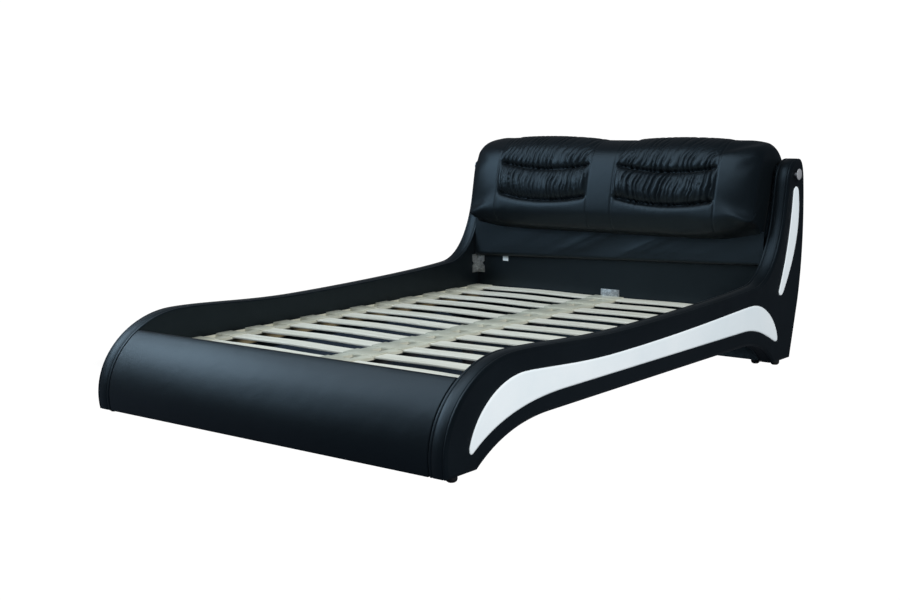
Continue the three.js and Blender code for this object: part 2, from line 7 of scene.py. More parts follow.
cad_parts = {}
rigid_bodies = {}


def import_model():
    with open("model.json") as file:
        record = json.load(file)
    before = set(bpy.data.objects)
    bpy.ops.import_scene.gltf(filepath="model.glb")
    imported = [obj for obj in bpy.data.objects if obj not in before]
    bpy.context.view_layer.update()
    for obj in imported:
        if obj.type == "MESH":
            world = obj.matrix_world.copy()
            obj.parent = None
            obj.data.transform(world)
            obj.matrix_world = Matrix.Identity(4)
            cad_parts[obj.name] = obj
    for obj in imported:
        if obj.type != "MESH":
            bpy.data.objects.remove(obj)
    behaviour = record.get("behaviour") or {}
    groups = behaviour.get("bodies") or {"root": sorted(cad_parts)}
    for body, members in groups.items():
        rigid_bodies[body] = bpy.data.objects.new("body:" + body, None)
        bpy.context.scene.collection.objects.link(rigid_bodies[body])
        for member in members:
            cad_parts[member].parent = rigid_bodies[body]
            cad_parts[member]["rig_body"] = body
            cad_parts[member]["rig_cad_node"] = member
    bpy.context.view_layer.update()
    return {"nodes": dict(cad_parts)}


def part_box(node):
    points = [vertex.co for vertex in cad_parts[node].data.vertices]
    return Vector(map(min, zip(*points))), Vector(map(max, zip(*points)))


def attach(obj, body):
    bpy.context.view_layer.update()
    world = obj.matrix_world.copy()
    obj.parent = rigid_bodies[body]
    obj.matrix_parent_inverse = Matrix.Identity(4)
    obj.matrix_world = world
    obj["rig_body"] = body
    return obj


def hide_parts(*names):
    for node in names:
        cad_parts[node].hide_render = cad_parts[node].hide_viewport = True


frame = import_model()
nodes = frame["nodes"]
SIDES = {"right": 1, "left": -1}


# ---------------------------------------------------------------- studio
# A white studio floor and backdrop, three soft lights over and before the foot end
# and one beside the viewer. Under the slats and beside the bed the floor carries a painted shadow, a
# dark patch in its colour.

def blank_nodes(owner):
    owner.use_nodes = True
    owner.node_tree.nodes.clear()
    return owner.node_tree


def add_node(tree, kind, values=None, **settings):
    node = tree.nodes.new(kind)
    for key, value in settings.items():
        setattr(node, key, value)
    for key, value in (values or {}).items():
        node.inputs[key].default_value = value
    return node


def join(tree, *pairs):
    for source, target in pairs:
        tree.links.new(source, target)


def deselect():
    if bpy.context.object and bpy.context.object.mode == "EDIT":
        bpy.ops.object.mode_set(mode="OBJECT")
    bpy.ops.object.select_all(action="DESELECT")


CAMERA_PLACE = (3.392, -4.3645, 1.180)
CAMERA_HEADING, CAMERA_TILT, CAMERA_ROLL = 38.943, 81.426, -0.877
deselect()
bpy.ops.object.camera_add(location=CAMERA_PLACE)
camera = bpy.context.object
camera.matrix_world = (
    Matrix.Translation(CAMERA_PLACE)
    @ Matrix.Rotation(math.radians(CAMERA_HEADING), 4, "Z")
    @ Matrix.Rotation(math.radians(CAMERA_TILT), 4, "X")
    @ Matrix.Rotation(math.radians(CAMERA_ROLL), 4, "Z")
)
camera.data.lens = 54.786
camera.data.sensor_width = 36
camera.data.clip_end = 200
bpy.context.scene.camera = camera
bpy.context.scene.view_settings.view_transform = "Standard"

PURE_WHITE, WHITE_STRENGTH = (1, 1, 1, 1), 1.05
# Each edge of the painted shadow on the floor: its axis, where it begins and where it is full.
PAINTED_SHADOW_EDGES = (("X", 0.20, -0.10), ("X", -1.80, -1.35), ("Y", -0.75, -0.25), ("Y", 2.3, 1.7))
world = bpy.data.worlds.new("studio")
bpy.context.scene.world = world
tree = blank_nodes(world)
seen = add_node(tree, "ShaderNodeLightPath")
white = add_node(tree, "ShaderNodeBackground", {"Color": PURE_WHITE, "Strength": WHITE_STRENGTH})
dim = add_node(tree, "ShaderNodeBackground", {"Color": (0.75, 0.86, 1, 1), "Strength": 0.08})
either = add_node(tree, "ShaderNodeMixShader")
out = add_node(tree, "ShaderNodeOutputWorld")
join(
    tree,
    (seen.outputs["Is Camera Ray"], either.inputs[0]),
    (dim.outputs[0], either.inputs[1]),
    (white.outputs[0], either.inputs[2]),
    (either.outputs[0], out.inputs[0]),
)

deselect()
bpy.ops.mesh.primitive_plane_add(size=40, location=(0, 0, 0))
floor = bpy.context.object
floor.name = "studio_floor"
paint = bpy.data.materials.new("studio_floor")
tree = blank_nodes(paint)
seen = add_node(tree, "ShaderNodeLightPath")
glow = add_node(tree, "ShaderNodeEmission", {"Color": PURE_WHITE, "Strength": WHITE_STRENGTH})
matt = add_node(tree, "ShaderNodeBsdfDiffuse", {"Color": (0.09, 0.10, 0.12, 1)})
# Painted shadow: a near-black diffuse colour that replaces the white floor over a masked patch.
painted_shadow = add_node(tree, "ShaderNodeBsdfDiffuse", {"Color": (0.035, 0.045, 0.06, 1)})
place = add_node(tree, "ShaderNodeTexCoord")
split = add_node(tree, "ShaderNodeSeparateXYZ")
join(tree, (place.outputs["Object"], split.inputs[0]))
# The mask of the painted shadow on the floor: one ramp per edge, multiplied together.
edges = []
for axis, start, end in PAINTED_SHADOW_EDGES:
    ramp = add_node(tree, "ShaderNodeMapRange", {"From Min": start, "From Max": end})
    join(tree, (split.outputs[axis], ramp.inputs["Value"]))
    edges.append(ramp.outputs["Result"])
painted_shadow_mask = edges[0]
for edge in edges[1:]:
    times = add_node(tree, "ShaderNodeMath", operation="MULTIPLY")
    join(tree, (painted_shadow_mask, times.inputs[0]), (edge, times.inputs[1]))
    painted_shadow_mask = times.outputs[0]
open_floor = add_node(tree, "ShaderNodeMixShader")
whole = add_node(tree, "ShaderNodeMixShader")
out = add_node(tree, "ShaderNodeOutputMaterial")
join(
    tree,
    (seen.outputs["Is Camera Ray"], open_floor.inputs[0]),
    (matt.outputs[0], open_floor.inputs[1]),
    (glow.outputs[0], open_floor.inputs[2]),
    (painted_shadow_mask, whole.inputs[0]),
    (open_floor.outputs[0], whole.inputs[1]),
    (painted_shadow.outputs[0], whole.inputs[2]),
    (whole.outputs[0], out.inputs[0]),
)
floor.data.materials.append(paint)


def soft_light(name, place, target, size, power, colour, mirrored=True):
    deselect()
    bpy.ops.object.light_add(type="AREA", location=place)
    lamp = bpy.context.object
    lamp.name = name
    lamp.rotation_euler = (Vector(target) - Vector(place)).to_track_quat("-Z", "Y").to_euler()
    lamp.data.shape = "RECTANGLE"
    lamp.data.size, lamp.data.size_y = size
    lamp.data.energy = power
    lamp.data.color = colour
    lamp.visible_glossy = mirrored


soft_light("ceiling_light", (-1.2, -1.8, 3.6), (-0.2, 0, 0.2), (3.8, 3.0), 76, (0.80, 0.91, 1))
soft_light("left_light", (-3.3, -1.7, 2.3), (-0.5, -1.1, 0.2), (2.2, 1.6), 46, (0.66, 0.85, 1))
soft_light("foot_light", (-3.0, -3.8, 1.9), (-0.8, -1.2, 0.2), (1.6, 1.3), 11, (0.66, 0.85, 1))
soft_light(
    "viewer_light", (6.8, -1.6, 3.9), (0.4, 0.5, 0.2), (3.0, 2.4), 530, (0.97, 0.99, 1),
    mirrored=False,
)


# ---------------------------------------------------------------- side panels
# Each side is one padded panel from the rolled foot to the head wing: a timber
# frame and board faces under thin foam, in a black leatherette cover that is
# sewn with a seam along both edges of the strip that runs round the panel.

HALF_LENGTH = 1.253
DEGREES_PER_STEP = 3
SAME_POINT = 0.0008
ON_PLANE = 1e-5
LARGE_FACE_CORNERS = 30


def foot(distance, height):
    """A point at a distance from the foot end, as (y, z)."""
    return (-HALF_LENGTH + distance, height)


def head(distance, height):
    """A point at a distance from the head end, as (y, z)."""
    return (HALF_LENGTH - distance, height)


def arc(centre, radii, start, end):
    """Points round part of an ellipse, angles in degrees."""
    count = max(3, int(abs(end - start) / DEGREES_PER_STEP))
    turns = np.radians(np.linspace(start, end, count + 1))
    return [(centre[0] + radii[0] * math.cos(t), centre[1] + radii[1] * math.sin(t)) for t in turns]


def traced(start, *moves, spacing=0.014):
    """A closed outline from lines (one point) and curves (two handles and a point)."""
    points = [np.array(start, float)]
    for move in moves:
        a = points[-1]
        if len(move) == 3 and np.ndim(move) == 2:
            b, c, d = (np.array(p, float) for p in move)
            reach = np.linalg.norm(b - a) + np.linalg.norm(c - b) + np.linalg.norm(d - c)
            for t in np.linspace(0, 1, max(3, int(reach / spacing)) + 1)[1:]:
                weights = ((1 - t) ** 3, 3 * t * (1 - t) ** 2, 3 * t * t * (1 - t), t ** 3)
                points.append(sum(weight * p for weight, p in zip(weights, (a, b, c, d))))
        elif np.ndim(move) == 2:
            points += [np.array(p, float) for p in move]
        else:
            d = np.array(move, float)
            for t in np.linspace(0, 1, max(1, int(np.linalg.norm(d - a) / spacing)) + 1)[1:]:
                points.append(a + t * (d - a))
    kept = [points[0]]
    for p in points[1:]:
        if np.linalg.norm(p - kept[-1]) > SAME_POINT:
            kept.append(p)
    if np.linalg.norm(kept[-1] - kept[0]) < SAME_POINT:
        kept.pop()
    return kept


def pick(mode, test):
    """Selects the edges or faces whose corners, or middle and normal, pass a test."""
    bpy.ops.mesh.select_all(action="DESELECT")
    bpy.ops.object.mode_set(mode="OBJECT")
    mesh = bpy.context.object.data
    if mode == "EDGE":
        for edge in mesh.edges:
            edge.select = test(*(mesh.vertices[i].co for i in edge.vertices))
    elif mode == "FACE":
        for face in mesh.polygons:
            face.select = test(face.center, face.normal)
    else:
        for corner in mesh.vertices:
            corner.select = test(corner.co)
    bpy.ops.object.mode_set(mode="EDIT")
    bpy.ops.mesh.select_mode(type=mode)


def slab(name, outline, x0, x1):
    """A flat piece cut to an outline in the (y, z) plane and thickened along x."""
    deselect()
    mesh = bpy.data.meshes.new(name)
    mesh.from_pydata([(x0, y, z) for y, z in outline], [], [list(range(len(outline)))])
    piece = bpy.data.objects.new(name, mesh)
    bpy.context.scene.collection.objects.link(piece)
    bpy.context.view_layer.objects.active = piece
    piece.select_set(True)
    bpy.ops.object.mode_set(mode="EDIT")
    bpy.ops.mesh.select_mode(type="FACE")
    bpy.ops.mesh.select_all(action="SELECT")
    bpy.ops.mesh.extrude_region_move(TRANSFORM_OT_translate={"value": (x1 - x0, 0, 0)})
    bpy.ops.mesh.select_all(action="SELECT")
    bpy.ops.mesh.normals_make_consistent(inside=False)
    return piece


def round_rims(x0, x1, size, segments=4):
    """Rounds both rims of the slab being edited."""
    low, high = min(x0, x1), max(x0, x1)
    pick("EDGE", lambda a, b: max(a.x, b.x) < low + ON_PLANE or min(a.x, b.x) > high - ON_PLANE)
    bpy.ops.mesh.bevel(offset=size, segments=segments, profile=0.5, clamp_overlap=False)


def sew(x, width=0.0028, depth=0.0016):
    """Presses a seam into the piece being edited, in the plane at x."""
    bpy.ops.mesh.select_mode(type="EDGE")
    bpy.ops.mesh.select_all(action="SELECT")
    bpy.ops.mesh.bisect(plane_co=(x, 0, 0), plane_no=(1, 0, 0))
    pick("EDGE", lambda a, b: abs(a.x - x) < ON_PLANE and abs(b.x - x) < ON_PLANE)
    bpy.ops.mesh.bevel(offset=width, segments=4, profile=0.5, clamp_overlap=False)
    pick("VERT", lambda p: abs(p.x - x) < width * 0.6)
    bpy.ops.transform.shrink_fatten(value=-depth * 0.45)
    pick("VERT", lambda p: abs(p.x - x) < ON_PLANE)
    bpy.ops.transform.shrink_fatten(value=-depth * 0.55)


def puff(face, way, steps):
    """Swells the flat face being edited: each step goes inward and then outward."""
    pick("FACE", lambda middle, normal: abs(middle.x - face) < ON_PLANE and abs(normal.x) > 0.9)
    for inward, outward in steps:
        bpy.ops.mesh.inset(thickness=inward, depth=0)
        bpy.ops.transform.translate(value=(outward * way, 0, 0))


def leave_edit(piece, angle=45):
    """Smooths the finished mesh but keeps its large flat faces flat."""
    bpy.ops.object.mode_set(mode="OBJECT")
    bpy.ops.object.shade_smooth_by_angle(angle=math.radians(angle))
    for face in piece.data.polygons:
        if len(face.vertices) > LARGE_FACE_CORNERS:
            face.use_smooth = False


def make_group(name, inputs, outputs):
    """An empty shader node group with named number inputs and outputs."""
    group = bpy.data.node_groups.new(name, "ShaderNodeTree")
    for label, value in inputs.items():
        socket = group.interface.new_socket(label, in_out="INPUT", socket_type="NodeSocketFloat")
        socket.default_value = value
    for label in outputs:
        group.interface.new_socket(label, in_out="OUTPUT", socket_type="NodeSocketFloat")
    return group, group.nodes.new("NodeGroupInput"), group.nodes.new("NodeGroupOutput")


def weigh(tree, *parts):
    """The sum of several values, each times its weight (a socket or a number)."""
    total = None
    for value, weight in parts:
        times = add_node(tree, "ShaderNodeMath", operation="MULTIPLY")
        join(tree, (value, times.inputs[0]))
        if isinstance(weight, (int, float)):
            times.inputs[1].default_value = weight
        else:
            join(tree, (weight, times.inputs[1]))
        if total is None:
            total = times.outputs[0]
        else:
            plus = add_node(tree, "ShaderNodeMath", operation="ADD")
            join(tree, (total, plus.inputs[0]), (times.outputs[0], plus.inputs[1]))
            total = plus.outputs[0]
    return total


# The pressed grain of the leatherette, the soft swells of foam under it, and
# its slow changes of tone.
hide, given, made = make_group(
    "hide_grain", {"Swell": 1.0, "Grain": 1.0}, ("Height", "Tone", "Polish")
)
place = add_node(hide, "ShaderNodeTexCoord")
cells = add_node(hide, "ShaderNodeTexVoronoi", {"Scale": 620.0}, feature="F1")
pores = add_node(hide, "ShaderNodeTexNoise", {"Scale": 260.0, "Detail": 3.0})
swells = add_node(hide, "ShaderNodeTexNoise", {"Scale": 5.5, "Detail": 2.0, "Distortion": 0.4})
creases = add_node(hide, "ShaderNodeTexNoise", {"Scale": 24.0, "Detail": 3.0, "Distortion": 0.8})
tone = add_node(hide, "ShaderNodeTexNoise", {"Scale": 3.2, "Detail": 5.0})
for texture in (cells, pores, swells, creases, tone):
    join(hide, (place.outputs["Object"], texture.inputs["Vector"]))
fine = weigh(hide, (cells.outputs["Distance"], 0.035), (pores.outputs["Fac"], 0.05))
soft = weigh(hide, (swells.outputs["Fac"], 1.0), (creases.outputs["Fac"], 0.12))
join(
    hide,
    (weigh(hide, (fine, given.outputs["Grain"]), (soft, given.outputs["Swell"])), made.inputs["Height"]),
    (tone.outputs["Fac"], made.inputs["Tone"]),
    (weigh(hide, (pores.outputs["Fac"], 0.5), (tone.outputs["Fac"], 0.5)), made.inputs["Polish"]),
)


def finish_material(name, group, settings, colours, rough, depth, plain=None):
    """A Principled material whose colour, polish and relief come from a group."""
    material = bpy.data.materials.new(name)
    tree = blank_nodes(material)
    pattern = add_node(tree, "ShaderNodeGroup", node_tree=group)
    for key, value in settings.items():
        pattern.inputs[key].default_value = value
    ramp = add_node(tree, "ShaderNodeValToRGB")
    ramp.color_ramp.elements[0].position = 0.3
    ramp.color_ramp.elements[1].position = 0.7
    ramp.color_ramp.elements[0].color = (*colours[0], 1)
    ramp.color_ramp.elements[1].color = (*colours[1], 1)
    polish = add_node(tree, "ShaderNodeMapRange", {"To Min": rough[0], "To Max": rough[1]})
    relief = add_node(tree, "ShaderNodeBump", {"Strength": 1.0, "Distance": depth})
    surface = add_node(tree, "ShaderNodeBsdfPrincipled", plain or {})
    out = add_node(tree, "ShaderNodeOutputMaterial")
    join(
        tree,
        (pattern.outputs["Tone"], ramp.inputs[0]),
        (ramp.outputs[0], surface.inputs["Base Color"]),
        (pattern.outputs["Polish"], polish.inputs["Value"]),
        (polish.outputs[0], surface.inputs["Roughness"]),
        (pattern.outputs["Height"], relief.inputs["Height"]),
        (relief.outputs[0], surface.inputs["Normal"]),
        (surface.outputs[0], out.inputs[0]),
    )
    return material


def black_leatherette(name, swell, depth=0.002):
    return finish_material(
        name, hide, {"Swell": swell, "Grain": 1.0},
        ((0.0018, 0.0030, 0.0040), (0.0036, 0.0055, 0.0070)), (0.36, 0.50), depth,
        {
            "Specular IOR Level": 0.5, "Specular Tint": (0.64, 0.84, 1, 1),
            "Sheen Weight": 0.03, "Sheen Roughness": 0.4,
        },
    )


PANEL_INSIDE, PANEL_OUTSIDE = 0.780, 0.850
RIM_ROUND, SEAM_IN = 0.0050, 0.0130
FLOOR_GAP = 0.018
ROLL_CENTRE, ROLL_RADII = (0.370, 0.070), (0.370, 0.292)
FACE_SWELL = ((0.0022, 0.0015), (0.0026, 0.0011), (0.0030, 0.0006))
panel_outline = traced(
    foot(0.160, FLOOR_GAP),
    arc(foot(*ROLL_CENTRE), ROLL_RADII, 190.26, 90),
    (foot(0.560, 0.362), foot(0.760, 0.335), foot(1.040, 0.335)),
    (foot(1.350, 0.335), head(0.640, 0.346), head(0.438, 0.365)),
    (head(0.300, 0.378), head(0.220, 0.520), head(0.189, 0.666)),
    head(0.165, 0.785),
    (head(0.150, 0.855), head(0.110, 0.880), head(0.058, 0.880)),
    (head(0.022, 0.880), head(0.008, 0.830), head(0.006, 0.774)),
    (head(-0.009, 0.600), head(0.005, 0.400), head(0.045, 0.251)),
    head(0.114, FLOOR_GAP),
    head(0.279, FLOOR_GAP),
    (head(0.330, 0.085), head(0.430, 0.130), head(0.560, 0.130)),
    foot(0.560, 0.130),
    (foot(0.390, 0.130), foot(0.260, 0.090), foot(0.160, FLOOR_GAP)),
)
panel_cover = black_leatherette("panel_leatherette", 0.8)
for side, way in SIDES.items():
    x0, x1 = PANEL_INSIDE * way, PANEL_OUTSIDE * way
    flat = x1 - sum(step[1] for step in FACE_SWELL) * way
    panel = slab(f"side_cover_{side}", panel_outline, x0, flat)
    round_rims(x0, flat, RIM_ROUND)
    puff(flat, way, FACE_SWELL)
    sew(x0 + SEAM_IN * way)
    sew(x1 - SEAM_IN * way)
    leave_edit(panel)
    panel.data.materials.append(panel_cover)
    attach(panel, "bed")
    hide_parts(f"side_panel_{side}")


# ---------------------------------------------------------------- white inlays
# A long ribbon on the rail and a blade on the wing, on each outer face. Each is
# white leatherette over thin foam on a board, pinned into a pocket in the panel.

INLAY_FACE, POCKET_DEPTH = 0.853, 0.004
long_outline = traced(
    foot(0.640, 0.193), head(0.560, 0.193),
    (head(0.455, 0.193), head(0.380, 0.163), head(0.282, 0.116)),
    (head(0.262, 0.106), head(0.244, 0.108), head(0.247, 0.125)),
    (head(0.258, 0.190), head(0.350, 0.292), head(0.490, 0.292)),
    (head(0.606, 0.292), foot(1.500, 0.262), foot(0.950, 0.262)),
    (foot(0.720, 0.262), foot(0.500, 0.289), foot(0.411, 0.289)),
    (foot(0.270, 0.289), foot(0.150, 0.200), foot(0.118, 0.095)),
    (foot(0.114, 0.078), foot(0.124, 0.068), foot(0.135, 0.075)),
    (foot(0.240, 0.145), foot(0.400, 0.193), foot(0.640, 0.193)),
)
blade_outline = traced(
    head(0.066, 0.740),
    (head(0.074, 0.770), head(0.108, 0.768), head(0.116, 0.742)),
    (head(0.150, 0.500), head(0.200, 0.410), head(0.240, 0.322)),
    (head(0.236, 0.300), head(0.214, 0.298), head(0.200, 0.314)),
    (head(0.070, 0.480), head(0.045, 0.620), head(0.066, 0.740)),
    spacing=0.009,
)
white_cover = finish_material(
    "white_leatherette", hide, {"Swell": 0.35, "Grain": 1.0},
    ((0.80, 0.87, 0.90), (0.90, 0.94, 0.955)), (0.40, 0.52), 0.0016,
    {"Specular IOR Level": 0.4},
)
for side, way in SIDES.items():
    for kind, outline, steps in (
        ("long", long_outline, ((0.0012, 0.0014), (0.0020, 0.0010), (0.0030, 0.0006))),
        ("blade", blade_outline, ((0.0012, 0.0014), (0.0018, 0.0009), (0.0025, 0.0005))),
    ):
        rise = sum(step[1] for step in steps)
        base = (INLAY_FACE - rise) * way
        inlay = slab(f"{kind}_ribbon_{side}", outline, (PANEL_OUTSIDE - POCKET_DEPTH) * way, base)
        puff(base, way, steps)
        leave_edit(inlay, 60)
        inlay.data.materials.append(white_cover)
        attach(inlay, "bed")
        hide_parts(f"{kind}_inlay_{side}")


# ---------------------------------------------------------------- footboard
# A bent board under foam and one stretched leatherette cover. It fits between
# the panels and carries on the roll of their front ends.

FOOTBOARD_END = 0.7797
footboard_outline = traced(
    foot(0.0059, FLOOR_GAP),
    arc(foot(*ROLL_CENTRE), ROLL_RADII, 190.26, 127.5),
    (foot(0.1500, 0.3045), foot(0.1600, 0.3060), foot(0.1660, 0.2990)),
    arc(foot(*ROLL_CENTRE), (0.325, 0.247), 126.0, 192.15),
    foot(0.0059, FLOOR_GAP),
)
footboard = slab("footboard_cover", footboard_outline, -FOOTBOARD_END, FOOTBOARD_END)
round_rims(-FOOTBOARD_END, FOOTBOARD_END, 0.006)
leave_edit(footboard)
footboard.data.materials.append(black_leatherette("footboard_leatherette", 1.0, 0.0026))
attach(footboard, "bed")
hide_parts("footboard")


# ---------------------------------------------------------------- headboard board
# The upright board between the wings. Its lower part is covered flat; above a
# sloping seam the cover is drawn up under the pad and shows slanting pulls.

BOARD_FRONT, BOARD_BACK = 0.230, 0.190
BOARD_BEND, BOARD_TOP, BOARD_END = 0.505, 0.852, 0.7797
board_outline = traced(
    head(0.255, FLOOR_GAP), (head(0.240, 0.060), head(BOARD_FRONT, 0.110), head(BOARD_FRONT, 0.160)),
    head(BOARD_FRONT, BOARD_BEND), head(0.120, BOARD_TOP),
    head(0.080, BOARD_TOP), head(BOARD_BACK, BOARD_BEND),
    head(BOARD_BACK, 0.160), head(0.215, FLOOR_GAP), head(0.255, FLOOR_GAP),
)
board = slab("headboard_cover", board_outline, -BOARD_END, BOARD_END)
round_rims(-BOARD_END, BOARD_END, 0.004, 3)
leave_edit(board)
board.data.materials.append(black_leatherette("headboard_leatherette", 0.5))
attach(board, "bed")
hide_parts("headboard_frame")


def seam_height(x):
    return 0.4035 + 0.0305 * x


def grid_mesh(name, rows, wrap=False):
    """A sheet of quads from rows of points, closed along the rows when wrap is set."""
    down, across = len(rows), len(rows[0])
    corners = np.array(rows, float).reshape(-1, 3)
    faces = []
    for i in range(down if wrap else down - 1):
        for j in range(across - 1):
            k = (i + 1) % down
            faces.append((i * across + j, i * across + j + 1, k * across + j + 1, k * across + j))
    mesh = bpy.data.meshes.new(name)
    mesh.from_pydata(corners.tolist(), [], faces)
    piece = bpy.data.objects.new(name, mesh)
    bpy.context.scene.collection.objects.link(piece)
    deselect()
    bpy.context.view_layer.objects.active = piece
    piece.select_set(True)
    return piece


BOARD_FACE = HALF_LENGTH - BOARD_FRONT
COVER_END, COVER_TOP, COVER_THICKNESS = 0.778, 0.575, 0.0012
xs = np.linspace(-COVER_END, COVER_END, 300)
ts = np.linspace(0, 1, 44)
rng = np.random.default_rng(7)
pulls = [(rng.uniform(18, 60), rng.uniform(0, 6.28), rng.uniform(0.25, 0.55)) for _ in range(7)]
rows = []
for t in ts:
    row = []
    for x in xs:
        low = seam_height(x)
        z = low + t * (COVER_TOP - low)
        edge = min(1, t / 0.10)
        swell = 0.004 + 0.022 * math.sqrt(max(0, 1 - (1 - edge) ** 2)) * (1 - 0.75 * t)
        sway = math.exp(-((x + 0.02 - 0.5 * (z - 0.45)) / 0.36) ** 2) + 0.25
        along = ((x - 0.1) * 0.42 - (z - 0.45) * 0.9) * 0.5
        slant = sum((1 - abs(math.sin(f * along + p))) ** 2 * (0.42 / math.sqrt(f)) for f, p, _ in pulls)
        row.append((x, BOARD_FACE - swell - 0.016 * slant * sway * min(1, t / 0.3), z))
    rows.append(row)
drawn = grid_mesh("headboard_drawn_cover", rows)
bpy.ops.object.mode_set(mode="EDIT")
bpy.ops.mesh.select_mode(type="EDGE")
bpy.ops.mesh.select_all(action="DESELECT")
pick("EDGE", lambda a, b: all(abs(p.z - seam_height(p.x)) < ON_PLANE for p in (a, b)))
bpy.ops.mesh.extrude_region_move(TRANSFORM_OT_translate={"value": (0, 0.008, 0.001)})
bpy.ops.mesh.select_all(action="SELECT")
bpy.ops.mesh.normals_make_consistent(inside=False)
bpy.ops.object.mode_set(mode="OBJECT")
thick = drawn.modifiers.new("cover", "SOLIDIFY")
thick.thickness = COVER_THICKNESS
thick.offset = 0
bpy.ops.object.modifier_apply(modifier="cover")
bpy.ops.object.shade_smooth_by_angle(angle=math.radians(60))
drawn.data.materials.append(black_leatherette("drawn_leatherette", 0.6))
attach(drawn, "bed")


# ---------------------------------------------------------------- headboard pad
# One thick foam pad sewn into the head of the bed. Its cover is gathered along
# two curved seams in each of two headrests, and swells between the seams.

PAD_FOOT = head(0.231, 0.520)
PAD_SEAT_NORMAL = (0.9495, -0.3137)
PAD_REACH, PAD_LIFT_START, PAD_DROP_START = 0.376, 0.40, 0.65
pad_profile = traced(
    PAD_FOOT,
    (head(0.300, 0.505), head(0.345, 0.535), head(0.336, 0.575)),
    head(0.322, 0.640),
    (head(0.308, 0.735), head(0.286, 0.835), head(0.249, 0.915)),
    (head(0.229, 0.958), head(0.165, 0.976), head(0.115, 0.970)),
    (head(0.060, 0.962), head(0.038, 0.920), head(0.034, 0.868)),
    head(0.034, 0.853),
    head(0.121, 0.853),
    PAD_FOOT,
    spacing=0.011,
)
PAD_END, PAD_ROUND, PAD_COLUMNS = 0.776, 0.042, 177
HEADREST_MIDDLE, HEADREST_HALF = 0.326, 0.260
LOWER_SEAM, UPPER_SEAM, SEAM_SAG = 0.702, 0.846, 0.030


def across_headrest(x):
    """Where x lies in the nearer headrest, from -1 at one side seam to 1 at the other."""
    return (x - math.copysign(HEADREST_MIDDLE, x)) / HEADREST_HALF


def upper_seam(u):
    return UPPER_SEAM - SEAM_SAG * (1 - np.clip(u * u, 0, 1))


def lower_seam(u):
    return LOWER_SEAM - SEAM_SAG * (1 - np.clip(u * u, 0, 1))


profile = np.array(pad_profile)
tangents = np.roll(profile, -1, 0) - np.roll(profile, 1, 0)
normals = np.stack([tangents[:, 1], -tangents[:, 0]], 1)
normals /= np.linalg.norm(normals, axis=1)[:, None]
centre = profile.mean(0)
if ((profile - centre) * normals).sum() < 0:
    normals = -normals
resting = np.array([
    abs((p - np.array(PAD_FOOT)) @ np.array(PAD_SEAT_NORMAL)) < 0.004 and p[1] < 0.86 for p in profile
])
xs = np.linspace(-PAD_END, PAD_END, PAD_COLUMNS)
rows, rest = [], []
for (y, z), (ny, nz), back in zip(profile, normals, resting):
    row = []
    for x in xs:
        past = max(0.0, (abs(x) - (PAD_END - PAD_ROUND)) / PAD_ROUND)
        sink = PAD_ROUND * 0.8 * (1 - math.sqrt(max(0.0, 1 - past ** 2.3)))
        if back:
            sink = 0.0
        front = 1.0 if ny < 0.2 or nz > 0.2 else 0.4
        u = across_headrest(x)
        out_left = 0.6 if x < 0 else 1.0
        outer = max(0, abs(x) - PAD_LIFT_START) / PAD_REACH
        lift = 0 if back else out_left * 0.085 * outer ** 2.2 * min(1, max(0, (0.68 - z) / 0.15))
        corner = max(0, (abs(x) - PAD_DROP_START) / (PAD_END - PAD_DROP_START)) ** 2
        drop = 0.034 * corner * min(1, max(0, (z - 0.80) / 0.14))
        hump = 0.012 * math.cos(min(1, abs(u)) * math.pi / 2) ** 0.7 * max(0, nz) if z > 0.8 else 0
        row.append((x, y - ny * (sink * front), z - nz * (sink * front) + lift - drop + hump))
        rest.append((x, z, ny, nz, 1.0 if back else 0.0))
    rows.append(row)
pad = grid_mesh("headboard_cushion", rows, wrap=True)
bpy.ops.object.mode_set(mode="EDIT")
for end in (-PAD_END, PAD_END):
    pick("EDGE", lambda a, b: abs(a.x - end) < ON_PLANE and abs(b.x - end) < ON_PLANE)
    bpy.ops.mesh.edge_face_add()
bpy.ops.mesh.select_all(action="SELECT")
bpy.ops.mesh.normals_make_consistent(inside=False)
bpy.ops.object.mode_set(mode="OBJECT")
rest = np.array(rest)
REST_LABELS = ("rest_x", "rest_z", "rest_ny", "rest_nz", "rest_back")
for column, label in enumerate(REST_LABELS):
    store = pad.data.attributes.new(label, "FLOAT", "POINT")
    store.data.foreach_set("value", rest[:, column].astype(np.float32))

SIMULATED_FRAMES, MOST_SWELL = 18, 0.024
before = np.array([v.co[:] for v in pad.data.vertices])
held = pad.vertex_groups.new(name="held")
for i, (x, z, ny, nz, back) in enumerate(rest):
    if back or abs(x) > PAD_END - 0.004:
        held.add([i], 1.0, "REPLACE")
cloth = pad.modifiers.new("inflate", "CLOTH")
cloth.settings.quality = 5
cloth.settings.mass = 0.3
cloth.settings.tension_stiffness = 25
cloth.settings.compression_stiffness = 25
cloth.settings.shear_stiffness = 8
cloth.settings.bending_stiffness = 0.6
cloth.settings.use_pressure = True
cloth.settings.uniform_pressure_force = 4
cloth.settings.vertex_group_mass = "held"
cloth.settings.effector_weights.gravity = 0
cloth.collision_settings.use_self_collision = False
cloth.point_cache.frame_start = 1
cloth.point_cache.frame_end = 20
for moment in range(1, SIMULATED_FRAMES + 1):
    bpy.context.scene.frame_set(moment)
deselect()
bpy.context.view_layer.objects.active = pad
pad.select_set(True)
bpy.ops.object.modifier_apply(modifier="inflate")
bpy.context.scene.frame_set(1)
after = np.array([v.co[:] for v in pad.data.vertices])
move = after - before
length = np.linalg.norm(move, axis=1)
move *= (MOST_SWELL * np.tanh(length / MOST_SWELL) / np.maximum(length, 1e-9))[:, None]
pad.data.vertices.foreach_set("co", (before + move).ravel())
pad.vertex_groups.clear()
relaxed = pad.modifiers.new("relaxed", "SMOOTH")
relaxed.factor = 0.5
relaxed.iterations = 22
bpy.ops.object.modifier_apply(modifier="relaxed")

finer = pad.modifiers.new("finer", "SUBSURF")
finer.levels = finer.render_levels = 1
bpy.ops.object.modifier_apply(modifier="finer")


